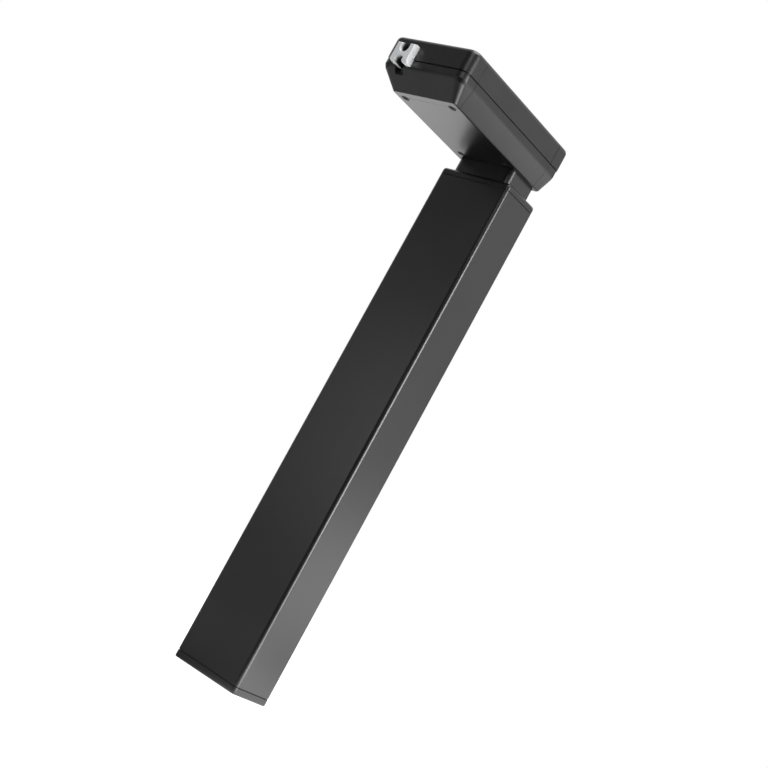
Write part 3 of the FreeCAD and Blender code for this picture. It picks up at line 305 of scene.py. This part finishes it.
# %% Lamps
def soft_lamp(name, place, aim, width, height, watts):
    """A rectangular soft box at a place that shines toward a point."""
    data = bpy.data.lights.new(name, "AREA")
    data.shape = "RECTANGLE"
    data.size, data.size_y = width, height
    data.energy = watts
    lamp = bpy.data.objects.new(name, data)
    scene.collection.objects.link(lamp)
    away = (Vector(place) - aim).to_track_quat("Z", "Y").to_matrix().to_4x4()
    lamp.matrix_world = Matrix.Translation(place) @ away
    print(name, round((Vector(place) - aim).length, 2), "m away,", watts, "W")


tube_top = Vector((0.0, 0.0, 0.475))
tube_middle = Vector((0.0, 0.0, 0.40))
tube_foot = Vector((0.0, 0.0, 0.10))
soft_lamp("overhead_box", (0.30, -0.20, 1.60), column_middle, width=0.8, height=0.8, watts=12.0)
soft_lamp("key_box", (0.75, -1.35, 1.45), column_middle, width=0.7, height=0.7, watts=6.0)
soft_lamp("right_box", (1.69, 0.10, 0.475), tube_top, width=0.75, height=0.95, watts=24.0)
soft_lamp("near_box", (0.60, 0.66, 0.10), tube_foot, width=0.5, height=0.18, watts=0.42)
soft_lamp("front_box", (-1.05, -1.46, 0.40), tube_middle, width=0.4, height=0.45, watts=0.7)

# %% [markdown]
# A real finish is never one flat colour. Its colour drifts a little, its gloss varies, and it has
# a grain that is too fine to model. The helpers below build these three from noise that is read in
# Object coordinates, which are metres on the part itself, so every grain can be given its true
# size. Numbers that are the same all over a surface are set on the shader's own sockets.

# %% Tools for finishes
mm = 0.001
micron = 0.000001


def new_finish(name, metallic=0.0, reflectance=0.5):
    """A material with one Principled shader, and its tree, shader and place on the part."""
    material = bpy.data.materials.new(name)
    material.use_nodes = True
    tree = material.node_tree
    tree.nodes.clear()
    shader = add_node(tree, "ShaderNodeBsdfPrincipled")
    shader.inputs["Metallic"].default_value = metallic
    shader.inputs["Specular IOR Level"].default_value = reflectance
    output = add_node(tree, "ShaderNodeOutputMaterial")
    tree.links.new(shader.outputs[0], output.inputs["Surface"])
    place = add_node(tree, "ShaderNodeTexCoord").outputs["Object"]
    print("finish", name)
    return material, tree, shader, place


def grain(tree, place, size, detail=2.0, stretch=(1.0, 1.0, 1.0)):
    """Noise whose lumps have a size in metres. A stretch below 1 draws them out along its axis."""
    mapping = add_node(tree, "ShaderNodeMapping")
    mapping.inputs["Scale"].default_value = [axis / size for axis in stretch]
    tree.links.new(place, mapping.inputs["Vector"])
    noise = add_node(tree, "ShaderNodeTexNoise")
    noise.inputs["Scale"].default_value = 1.0
    noise.inputs["Detail"].default_value = detail
    tree.links.new(mapping.outputs["Vector"], noise.inputs["Vector"])
    return noise.outputs["Fac"]


band_pitch = 0.314159


def bands(tree, place, spacing, axis, distortion=0.0):
    """Even bands, one per spacing in metres, along X, Y or Z. At scale 1 they are a pitch apart."""
    node = add_node(tree, "ShaderNodeTexWave", wave_type="BANDS", bands_direction=axis)
    node.inputs["Scale"].default_value = band_pitch / spacing
    node.inputs["Distortion"].default_value = distortion
    tree.links.new(place, node.inputs["Vector"])
    return node.outputs["Fac"]


def two_tones(tree, factor, dark, light, start=0.3, end=0.7):
    """A colour that goes from dark to light as the factor goes from start to end."""
    node = add_node(tree, "ShaderNodeValToRGB")
    node.color_ramp.elements[0].position = start
    node.color_ramp.elements[0].color = (*dark, 1.0)
    node.color_ramp.elements[1].position = end
    node.color_ramp.elements[1].color = (*light, 1.0)
    tree.links.new(factor, node.inputs["Fac"])
    return node.outputs["Color"]


def tint(tree, shader, factor, dark, light, start=0.3, end=0.7):
    """Colours a shader from dark to light as the factor goes from start to end."""
    colour = two_tones(tree, factor, dark, light, start, end)
    tree.links.new(colour, shader.inputs["Base Color"])


def gloss(tree, shader, factor, smooth, rough):
    """Varies a shader's roughness with a factor."""
    tree.links.new(between(tree, factor, smooth, rough), shader.inputs["Roughness"])


def relief(tree, shader, height, depth):
    """Bump of a depth in metres on a shader."""
    node = add_node(tree, "ShaderNodeBump")
    node.inputs["Strength"].default_value = 1.0
    node.inputs["Distance"].default_value = depth
    tree.links.new(height, node.inputs["Height"])
    tree.links.new(node.outputs["Normal"], shader.inputs["Normal"])


finishes = {}

# %% [markdown]
# The outer and inner tubes are steel with satin black powder coat. The powder melts into a skin
# with soft lumps a few millimetres across, which is called orange peel. The mesh itself could be
# made lumpy, but the lumps are only three thousandths of a millimetre high, so a bump is enough.
# It shows as a slight unrest in the highlights.

# %% Powder coat
material, tree, shader, place = new_finish("satin_powder_coat", reflectance=0.8)
drift = grain(tree, place, 50 * mm, 3.0)
tint(tree, shader, drift, (0.005, 0.005, 0.0053), (0.0075, 0.0075, 0.0078))
gloss(tree, shader, drift, 0.29, 0.31)
relief(tree, shader, grain(tree, place, 2.2 * mm, 1.0), 3 * micron)
finishes["tube_paint"] = material

# %% [markdown]
# The foot plate is laser cut and painted in another batch. It could share the tube's finish, but
# then the two would look like one piece. So its coat is slightly duller than the tube's, and its
# lumps are smaller and a little higher.

# %% Foot paint
material, tree, shader, place = new_finish("foot_powder_coat", reflectance=0.7)
drift = grain(tree, place, 30 * mm, 3.0)
tint(tree, shader, drift, (0.0055, 0.0055, 0.0058), (0.0085, 0.0085, 0.0088))
gloss(tree, shader, drift, 0.30, 0.33)
relief(tree, shader, grain(tree, place, 1.5 * mm), 4 * micron)
finishes["foot_paint"] = material

# %% [markdown]
# The collar is moulded nylon. Its skin is smoother than the paint beside it, with a much finer
# grain and faint flow marks from the mould. A picture of real plastic could show them, but it
# would need to be laid on the piece without a seam. Noise squeezed along Z needs no such care: it
# lies level round the collar, as the marks do, and drifts through the colour and the gloss.

# %% Collar nylon
material, tree, shader, place = new_finish("black_nylon", reflectance=0.7)
flow = grain(tree, place, 12 * mm, 3.0, (1.0, 1.0, 3.0))
tint(tree, shader, flow, (0.006, 0.006, 0.0063), (0.009, 0.009, 0.0093))
gloss(tree, shader, flow, 0.29, 0.32)
relief(tree, shader, grain(tree, place, 0.4 * mm), 2 * micron)
finishes["collar_plastic"] = material

# %% [markdown]
# The drive housing and the tray under it are moulded with a spark-eroded texture: an even, matt
# grain of about a quarter of a millimetre, which hides sink marks and fingerprints. Modelled
# dimples of that size would take millions of faces. So one fine noise makes both the bump and the
# gloss, and a wide one lets the black drift a little.

# %% Textured housing plastic
material, tree, shader, place = new_finish("textured_black_plastic", reflectance=0.62)
drift = grain(tree, place, 20 * mm, 3.0)
tint(tree, shader, drift, (0.0055, 0.0055, 0.0058), (0.0085, 0.0085, 0.0088))
sparks = grain(tree, place, 0.28 * mm)
gloss(tree, shader, sparks, 0.30, 0.34)
relief(tree, shader, sparks, 1.5 * micron)
finishes["housing_plastic"] = material

# %% [markdown]
# The rail is extruded aluminium, sawn to length. The die leaves fine lines along the bar, so its
# grain is drawn out a hundred times along Y. Hardly any light gets into the two grooves, so the
# metal there is painted nearly black as shade. A second material on the grooves' faces could do
# that, but the painted shade would begin at a hard line. Here X says where the grooves are, and Y
# lets the painted shade set in just behind the sawn face.

# %% Extruded aluminium
rail_middle = -0.0224
rail_front = -0.1475
groove_half_width = 0.0047
# Painted shade: inside the grooves the metal's colour is darkened nearly to black, because little
# light reaches in there.
groove_shade_start = 0.0008
groove_shade_full = 0.0040
groove_shade_colour = (0.01, 0.01, 0.01, 1.0)

material, tree, shader, place = new_finish("extruded_aluminium", metallic=0.3)
die_lines = grain(tree, place, 0.4 * mm, stretch=(1.0, 0.01, 1.0))
bare = two_tones(tree, die_lines, (0.76, 0.77, 0.78), (0.84, 0.85, 0.86))
axes = axes_of(tree, place)
aside = add_node(tree, "ShaderNodeMath", operation="COMPARE")
aside.inputs[1].default_value = rail_middle
aside.inputs[2].default_value = groove_half_width
tree.links.new(axes["X"], aside.inputs[0])
behind = between(tree, axes["Y"], 0.0, 1.0, rail_front + groove_shade_start, rail_front + groove_shade_full)
# Mixes the painted shade into the bare metal inside the grooves, starting just behind the sawn
# face.
groove_shaded = add_node(tree, "ShaderNodeMix", data_type="RGBA")
groove_shaded.inputs["B"].default_value = groove_shade_colour
tree.links.new(joined(tree, "MULTIPLY", aside.outputs[0], behind), groove_shaded.inputs["Factor"])
tree.links.new(bare, groove_shaded.inputs["A"])
tree.links.new(groove_shaded.outputs["Result"], shader.inputs["Base Color"])
gloss(tree, shader, die_lines, 0.50, 0.62)
relief(tree, shader, die_lines, 1.5 * micron)
finishes["rail_aluminium"] = material

# %% [markdown]
# Zinc plating on the pressed and turned steel inside is pale and a little blue, with cloudy
# patches where the bath left it thicker. Patches could be painted on each part, but there are
# seven parts, and no two have the same ones. Noise in Object coordinates gives every part its own,
# and the same noise varies the colour and the gloss, because a thicker coat changes both.

# %% Zinc plate
material, tree, shader, place = new_finish("zinc_plated_steel", metallic=1.0)
clouds = grain(tree, place, 6 * mm, 4.0)
tint(tree, shader, clouds, (0.50, 0.52, 0.55), (0.66, 0.68, 0.70))
gloss(tree, shader, clouds, 0.26, 0.42)
relief(tree, shader, grain(tree, place, 0.5 * mm), 4 * micron)
finishes["zinc_steel"] = material

# %% [markdown]
# Screws and pins are hardened steel with black oxide, a thin, dark and oily skin. It mirrors very
# little deep in its recess, and rubs off first where a driver has turned it. Blender can find
# sharp edges for such wear by their Pointiness, but that needs a finer mesh than a small screw
# has. So the wear is a noise, in paler patches about a millimetre across.

# %% Black oxide
material, tree, shader, place = new_finish("black_oxide_steel", reflectance=0.08)
rubbed = grain(tree, place, 1.2 * mm, 4.0)
tint(tree, shader, rubbed, (0.012, 0.012, 0.013), (0.035, 0.035, 0.038), 0.35, 0.75)
gloss(tree, shader, rubbed, 0.44, 0.58)
relief(tree, shader, grain(tree, place, 0.3 * mm), 5 * micron)
finishes["screw_steel"] = material

# %% [markdown]
# Glides, the end stop and the spindle nut are natural acetal, a waxy white plastic. The worm wheel
# is cream nylon. Plain white paint would look like chalk, so the acetal lets a little light in,
# through a trace of subsurface scattering. Both have cutter marks too fine to see as single lines,
# and a shallow bump that is drawn out along Z stands for them.

# %% Acetal and wheel nylon
material, tree, shader, place = new_finish("natural_acetal")
wax = grain(tree, place, 8 * mm, 3.0)
tint(tree, shader, wax, (0.66, 0.65, 0.61), (0.74, 0.73, 0.69))
gloss(tree, shader, wax, 0.32, 0.44)
shader.inputs["Subsurface Weight"].default_value = 0.08
shader.inputs["Subsurface Scale"].default_value = 1 * mm
relief(tree, shader, grain(tree, place, 0.4 * mm, stretch=(1.0, 1.0, 0.2)), 5 * micron)
finishes["glide_plastic"] = material

material, tree, shader, place = new_finish("cream_nylon")
wax = grain(tree, place, 6 * mm, 3.0)
tint(tree, shader, wax, (0.60, 0.53, 0.38), (0.68, 0.61, 0.46))
gloss(tree, shader, wax, 0.36, 0.48)
relief(tree, shader, grain(tree, place, 0.3 * mm, stretch=(1.0, 1.0, 0.3)), 8 * micron)
finishes["wheel_plastic"] = material

# %% [markdown]
# The gearbox shells are cast alloy. A casting is grey and grainy like fine sandpaper, and brighter
# on the lumps that were rubbed in the tumbler. With a noise each for the colour and the bump,
# bright spots would also land in the hollows. So one noise makes both, and the high places are the
# bright ones.

# %% Cast alloy
material, tree, shader, place = new_finish("cast_alloy", metallic=1.0)
skin = grain(tree, place, 0.7 * mm, 4.0)
tint(tree, shader, skin, (0.34, 0.35, 0.36), (0.52, 0.53, 0.54))
gloss(tree, shader, skin, 0.42, 0.60)
relief(tree, shader, skin, 40 * micron)
finishes["gearbox_alloy"] = material

# %% [markdown]
# Bearing rings are ground and polished, so they are the brightest metal here. Their grinding lines
# go round the ring. An anisotropic shader could show them, but it needs a direction round each
# ring, and the lines are far finer than a pixel. So an even, very fine grain does for them, and it
# only blurs the gloss.

# %% Bearing steel
material, tree, shader, place = new_finish("bearing_steel", metallic=1.0)
lines = grain(tree, place, 0.2 * mm)
tint(tree, shader, lines, (0.62, 0.62, 0.63), (0.72, 0.72, 0.73))
gloss(tree, shader, lines, 0.14, 0.24)
relief(tree, shader, lines, 2 * micron)
finishes["bearing_steel"] = material

# %% [markdown]
# Ferrite magnets and carbon brushes are both pressed from powder. They are dark grey and matt,
# with a speckle of coarser grains. A Voronoi pattern could scatter the grains, but all its cells
# are about as large as each other. Noise with five levels of detail has lumps of many sizes, as a
# powder has.

# %% Ferrite and carbon
material, tree, shader, place = new_finish("pressed_ferrite")
speckle = grain(tree, place, 0.5 * mm, 5.0)
tint(tree, shader, speckle, (0.035, 0.036, 0.040), (0.085, 0.086, 0.092), 0.35, 0.7)
gloss(tree, shader, speckle, 0.52, 0.72)
relief(tree, shader, speckle, 20 * micron)
finishes["magnet_ceramic"] = material

# %% [markdown]
# The armature is a stack of stamped steel sheets, half a millimetre thick each, and the stack
# shows as fine dark lines across the motor's axis, which lies along Y. It could be modelled sheet
# by sheet, as seventy-two plates. Bands from a Wave texture look the same at this size, and each
# band's trough is both its dark line and its gap.

# %% Stacked sheets
sheet_thickness = 0.5 * mm
material, tree, shader, place = new_finish("stacked_sheet_steel", metallic=1.0)
gaps = bands(tree, place, sheet_thickness, "Y")
tint(tree, shader, gaps, (0.16, 0.16, 0.17), (0.46, 0.46, 0.47), 0.05, 0.35)
gloss(tree, shader, grain(tree, place, 2 * mm), 0.34, 0.48)
relief(tree, shader, gaps, 30 * micron)
finishes["lamination_steel"] = material

# %% [markdown]
# Windings are enamelled copper wire about half a millimetre thick, so they are redder and glossier
# than bare copper, with a ridge for each turn. One long bevelled curve could be wound round every
# slot, but it would be hundreds of turns that nobody counts. So bands make the ridges. The wires
# run along the slots, the ridges are spaced across them, and a little distortion keeps them from
# looking ruled. The commutator and the socket's pins share this finish.

# %% Copper wire
wire = 0.55 * mm
material, tree, shader, place = new_finish("enamelled_copper", metallic=1.0)
turns = bands(tree, place, wire, "X", 0.6)
tint(tree, shader, turns, (0.38, 0.13, 0.06), (0.72, 0.33, 0.18), 0.1, 0.6)
gloss(tree, shader, grain(tree, place, 1 * mm), 0.22, 0.36)
relief(tree, shader, turns, 80 * micron)
finishes["copper"] = material

# %% [markdown]
# The motor's end cap and the cable socket are nylon filled with short glass fibres, which come up
# through the skin as pale flecks in one direction. The flecks could be thin pieces strewn over the
# surface. For something so small, noise drawn out along Y is enough: its colour ramp starts late,
# so only its peaks turn pale.

# %% Glass-filled nylon
material, tree, shader, place = new_finish("glass_filled_nylon", reflectance=0.45)
fibres = grain(tree, place, 0.25 * mm, stretch=(1.0, 0.18, 1.0))
tint(tree, shader, fibres, (0.012, 0.012, 0.013), (0.040, 0.040, 0.042), 0.45, 0.8)
gloss(tree, shader, fibres, 0.40, 0.58)
relief(tree, shader, fibres, 10 * micron)
finishes["motor_plastic"] = material

# %% [markdown]
# The sensor's board is glass cloth in green resin. The cloth is a plain weave with a
# half-millimetre pitch. A Checker texture could stand for it, but its squares have hard edges. Two
# sets of bands that cross are multiplied instead, which gives soft threads with a slight hollow
# between them.

# %% Board laminate
weave_pitch = 0.5 * mm
material, tree, shader, place = new_finish("green_board")
warp = bands(tree, place, weave_pitch, "X")
weft = bands(tree, place, weave_pitch, "Z")
weave = joined(tree, "MULTIPLY", warp, weft)
tint(tree, shader, weave, (0.010, 0.075, 0.030), (0.022, 0.125, 0.052), 0.1, 0.9)
gloss(tree, shader, grain(tree, place, 3 * mm), 0.26, 0.40)
relief(tree, shader, weave, 8 * micron)
finishes["board_laminate"] = material

# %% [markdown]
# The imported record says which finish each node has. A material could be picked by hand for every
# node, but sooner or later one would be forgotten. So one loop gives every node the material of
# its slot, and the pieces that stand for nodes later take theirs in the same way.

# %% Finishes on the nodes
slot_of = {part["node"]: part["material_slot"] for part in frame["record"]["subparts"]}
for node, part in frame["nodes"].items():
    for holder in part.material_slots:
        holder.material = finishes[slot_of[node]]
print(len(slot_of), "nodes in", len(finishes), "finishes")

# %% [markdown]
# Two dark seams run round the column: one under the collar, where it sits on the tube, and one
# where the tube stands on its foot. They are real gaps between two parts. A dark line could be
# painted there, but it would look flat from close by. So each is a real groove, 0.8 mm wide and
# deep: two level cuts mark a narrow band on the outer wall, and the band is pushed in.

# %% Scored seams
seam_width = 0.0008
seam_depth = 0.0008
outer_x = 0.0365
outer_y = 0.0190
upright_slope = 0.1
outward_least = 0.005
hair = 0.000001
on_cut = 0.0000001


def on_outer_wall(face):
    """Whether a face is upright, looks away from the column's axis and lies on the outer wall."""
    middle = face.calc_center_median()
    outward = face.normal.x * middle.x + face.normal.y * middle.y
    far_out = abs(middle.x) > outer_x or abs(middle.y) > outer_y
    return abs(face.normal.z) < upright_slope and outward > outward_least and far_out


def score(shape, low):
    """Cuts a narrow groove round the outside of a tube-shaped mesh, upward from a height."""
    high = low + seam_width
    for cut in (low, high):
        everything = shape.verts[:] + shape.edges[:] + shape.faces[:]
        bmesh.ops.bisect_plane(shape, geom=everything, dist=on_cut, plane_co=(0.0, 0.0, cut),
                               plane_no=(0.0, 0.0, 1.0))
    band = [face for face in shape.faces if on_outer_wall(face)
            and all(low - hair < vertex.co.z < high + hair for vertex in face.verts)]
    bmesh.ops.inset_region(shape, faces=band, thickness=0.0, depth=-seam_depth, use_boundary=True,
                           use_even_offset=True)
    print("groove at", round(low * 1000, 2), "mm,", len(band), "faces pushed in")


# %% [markdown]
# Moulded parts never end in knife edges, and it is the small rounded edge that catches the light.
# The CAD solids have the large curves, and the six housing shells get their small ones here. A
# Bevel modifier could do it, but a CAD mesh is loose triangles. So a copy is merged first, flat
# regions become single faces, and then only the edges that turn sharply get a bevel. Weighted
# normals keep the large flat faces flat. The sawn rail stays crisp, as the CAD has it.

# %% Softened edges
shell_edge = 0.00025
weld = 0.000002
flat_turn = math.radians(0.6)
sharp_turn = math.radians(24.0)
sharp_shade = math.radians(50.0)
bodies = frame["record"]["behaviour"]["bodies"]
body_of = {node: body for body, nodes in bodies.items() for node in nodes}


def softened(node, reach=0.0, seam_height=None):
    """A merged, smoothly shaded copy of a CAD node, which replaces it. A reach rounds its sharp
    edges, and a seam height scores a groove there."""
    shape = bmesh.new()
    shape.from_mesh(frame["nodes"][node].data)
    bmesh.ops.remove_doubles(shape, verts=shape.verts, dist=weld)
    bmesh.ops.dissolve_limit(shape, angle_limit=flat_turn, verts=shape.verts, edges=shape.edges)
    bmesh.ops.dissolve_degenerate(shape, dist=weld, edges=shape.edges)
    turned = []
    if reach:
        turned = [edge for edge in shape.edges
                  if edge.is_manifold and edge.calc_face_angle(0.0) > sharp_turn]
        bmesh.ops.bevel(shape, geom=turned, offset=reach, offset_type="OFFSET", segments=2,
                        profile=0.5, affect="EDGES", clamp_overlap=True, material=-1)
    bmesh.ops.remove_doubles(shape, verts=shape.verts, dist=weld)
    if seam_height:
        score(shape, seam_height)
    for face in shape.faces:
        face.smooth = True
    for edge in shape.edges:
        edge.smooth = edge.calc_face_angle(0.0) < sharp_shade
    mesh = bpy.data.meshes.new(node + "_soft")
    shape.to_mesh(mesh)
    mesh.materials.append(finishes[slot_of[node]])
    shape.free()
    piece = bpy.data.objects.new(node + "_soft", mesh)
    scene.collection.objects.link(piece)
    shading = piece.modifiers.new("even_shading", "WEIGHTED_NORMAL")
    shading.keep_sharp = True
    shading.weight = 100
    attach(piece, body_of[node])
    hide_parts(node)
    print(node, len(turned), "edges softened,", len(mesh.polygons), "faces")


# %% [markdown]
# Now the pieces that show take their turn. The shells get softened edges, the collar and the tube
# get their seams, and the foot plate is only merged, so that its rounded rim is shaded smoothly.
# The neck, the rail, the screws and all that is hidden inside could be treated in the same way,
# but their CAD meshes look right as they are, so they stay.

# %% Visible pieces
collar_seam = 0.4772
foot_seam = 0.0062

for node in ("cover_front", "cover_centre", "cover_rear", "tray_front", "tray_centre", "tray_rear"):
    softened(node, reach=shell_edge)
softened("guide_collar", seam_height=collar_seam)
softened("outer_tube", seam_height=foot_seam)
softened("foot_plate")
